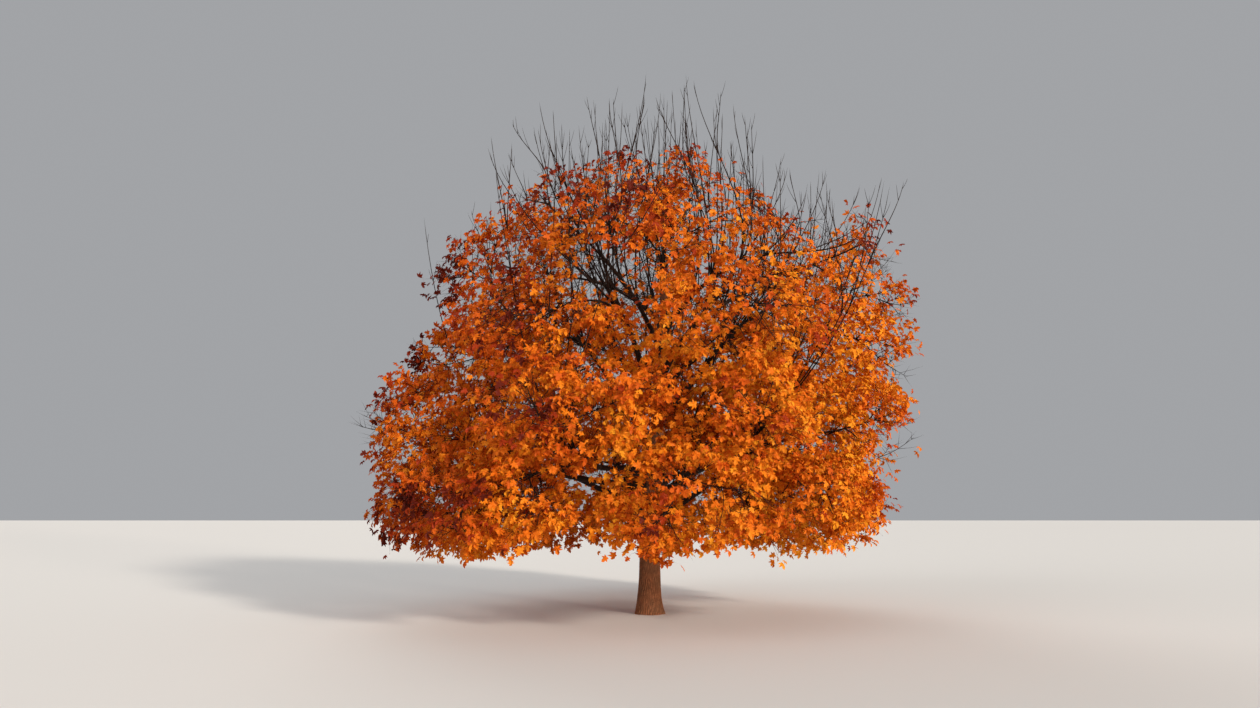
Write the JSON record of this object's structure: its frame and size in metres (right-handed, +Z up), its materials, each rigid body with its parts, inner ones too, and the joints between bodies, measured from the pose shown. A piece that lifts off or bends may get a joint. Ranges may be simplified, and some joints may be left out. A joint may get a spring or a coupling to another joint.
{
  "type": "maple tree",
  "caption": "Broad maple in orange autumn leaf: a short rooted trunk, boughs on all sides, and a wide rounded crown with bare twigs above it.",
  "frame": {"origin": "middle of the flat cut under the trunk, at ground level", "axes": "+Z up, +X to the right of the usual view, +Y away from the viewer"},
  "size_m": [9.2697, 8.7608, 9.0521],
  "materials": {
    "trunk_bark": "rough furrowed bark",
    "bough_bark": "dark bark",
    "amber_leaves": "matt leaf",
    "orange_leaves": "matt leaf",
    "russet_leaves": "matt leaf"
  },
  "bodies": {
    "root": {"trunk": "trunk_bark", "low_bough_1": "bough_bark", "low_bough_2": "bough_bark", "low_bough_3": "bough_bark", "low_bough_4": "bough_bark", "low_bough_5": "bough_bark", "low_bough_6": "bough_bark", "low_bough_7": "bough_bark", "low_bough_8": "bough_bark", "middle_bough_1": "bough_bark", "middle_bough_2": "bough_bark", "middle_bough_3": "bough_bark", "middle_bough_4": "bough_bark", "middle_bough_5": "bough_bark", "middle_bough_6": "bough_bark", "middle_bough_7": "bough_bark", "high_bough_1": "bough_bark", "high_bough_2": "bough_bark", "high_bough_3": "bough_bark", "high_bough_4": "bough_bark", "high_bough_5": "bough_bark", "skirt_foliage_1": "amber_leaves", "skirt_foliage_2": "amber_leaves", "skirt_foliage_3": "amber_leaves", "skirt_foliage_4": "amber_leaves", "skirt_foliage_5": "amber_leaves", "skirt_foliage_6": "amber_leaves", "skirt_foliage_7": "amber_leaves", "skirt_foliage_8": "amber_leaves", "lower_foliage_1": "orange_leaves", "lower_foliage_2": "orange_leaves", "lower_foliage_3": "orange_leaves", "lower_foliage_4": "orange_leaves", "lower_foliage_5": "orange_leaves", "lower_foliage_6": "orange_leaves", "lower_foliage_7": "orange_leaves", "lower_foliage_8": "orange_leaves", "middle_foliage_1": "orange_leaves", "middle_foliage_2": "orange_leaves", "middle_foliage_3": "orange_leaves", "middle_foliage_4": "orange_leaves", "middle_foliage_5": "orange_leaves", "middle_foliage_6": "orange_leaves", "middle_foliage_7": "orange_leaves", "upper_foliage_1": "russet_leaves", "upper_foliage_2": "russet_leaves", "upper_foliage_3": "russet_leaves", "upper_foliage_4": "russet_leaves", "upper_foliage_5": "russet_leaves", "upper_foliage_6": "russet_leaves", "upper_foliage_7": "russet_leaves", "shoulder_foliage_1": "russet_leaves", "shoulder_foliage_2": "russet_leaves", "shoulder_foliage_3": "russet_leaves", "shoulder_foliage_4": "russet_leaves", "shoulder_foliage_5": "russet_leaves", "top_foliage_1": "russet_leaves", "top_foliage_2": "russet_leaves"}
  },
  "joints": []
}
